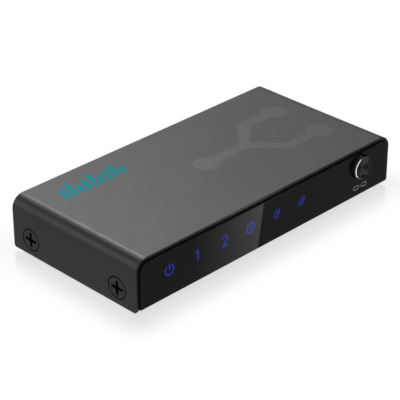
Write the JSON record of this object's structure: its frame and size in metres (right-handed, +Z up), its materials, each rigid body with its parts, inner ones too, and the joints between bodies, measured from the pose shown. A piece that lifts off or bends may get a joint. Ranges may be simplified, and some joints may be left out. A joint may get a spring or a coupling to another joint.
{
  "type": "hdmi splitter",
  "caption": "Slim metal box that copies one video signal to two screens, with a glossy front panel, lit symbols, a round push button and rear sockets.",
  "frame": {"origin": "on the surface that the feet stand on, under the middle of the object's box", "axes": "+X to the right seen from the front, along the longest side; +Y to the rear, where the sockets are; +Z up"},
  "size_m": [0.12, 0.0608, 0.0194],
  "materials": {
    "cover_paint": "fine satin powder coat, dark grey",
    "tray_coat": "satin black coat on folded sheet",
    "panel_gloss": "polished black moulding",
    "cap_black": "black, semi-gloss",
    "bevel_bright": "diamond-cut bright bevel",
    "face_spun": "spun, dark anodised",
    "screw_black": "black oxide, satin",
    "foot_rubber": "matt",
    "board_green": "solder-mask green laminate",
    "standoff_brass": "milled, hexagonal",
    "steel_plain": "tinned, stamped",
    "shell_nickel": "nickel plated, folded",
    "moulding_black": "moulded, fine matt",
    "contact_gold": "gold flash",
    "plating_bright": "bright plated",
    "plunger_white": "moulded",
    "guide_clear": "clear moulded, polished ends",
    "led_pale": "clear lens over a pale chip",
    "package_black": "moulded chip package",
    "pad_grey": "soft, matt",
    "sink_aluminium": "bare extruded"
  },
  "bodies": {
    "housing": {"base_chassis": "tray_coat", "board_standoffs": "standoff_brass", "capacitors": "sink_aluminium", "cover_screw_left_front": "screw_black", "cover_screw_left_rear": "screw_black", "cover_screw_right_front": "screw_black", "cover_screw_right_rear": "screw_black", "crystal": "plating_bright", "foot_front_left": "foot_rubber", "foot_front_right": "foot_rubber", "foot_rear_left": "foot_rubber", "foot_rear_right": "foot_rubber", "front_panel": "panel_gloss", "heat_sink": "sink_aluminium", "jack_housing": "moulding_black", "jack_pin": "plating_bright", "jack_spring": "plating_bright", "light_baffle": "moulding_black", "light_guide": "guide_clear", "main_board": "board_green", "memory_chip_1": "package_black", "memory_chip_2": "package_black", "memory_chip_3": "package_black", "power_inductor": "package_black", "regulator": "package_black", "socket_in_contacts": "contact_gold", "socket_in_insulator": "moulding_black", "socket_in_shell": "shell_nickel", "socket_out_1_contacts": "contact_gold", "socket_out_1_insulator": "moulding_black", "socket_out_1_shell": "shell_nickel", "socket_out_2_contacts": "contact_gold", "socket_out_2_insulator": "moulding_black", "socket_out_2_shell": "shell_nickel", "splitter_chip": "package_black", "status_leds": "led_pale", "switch_body": "moulding_black", "switch_bracket": "steel_plain", "thermal_pad": "pad_grey", "top_cover": "cover_paint"},
    "button": {"button_cap": "cap_black", "button_ring": "bevel_bright", "button_face": "face_spun", "switch_plunger": "plunger_white"}
  },
  "joints": [
    {"name": "button_press", "type": "slide", "parent": "housing", "child": "button", "axis": [0, 1, 0], "range_m": [0, 0.0003], "stiffness_N_per_m": 2500, "springref_m": -0.0003}
  ]
}
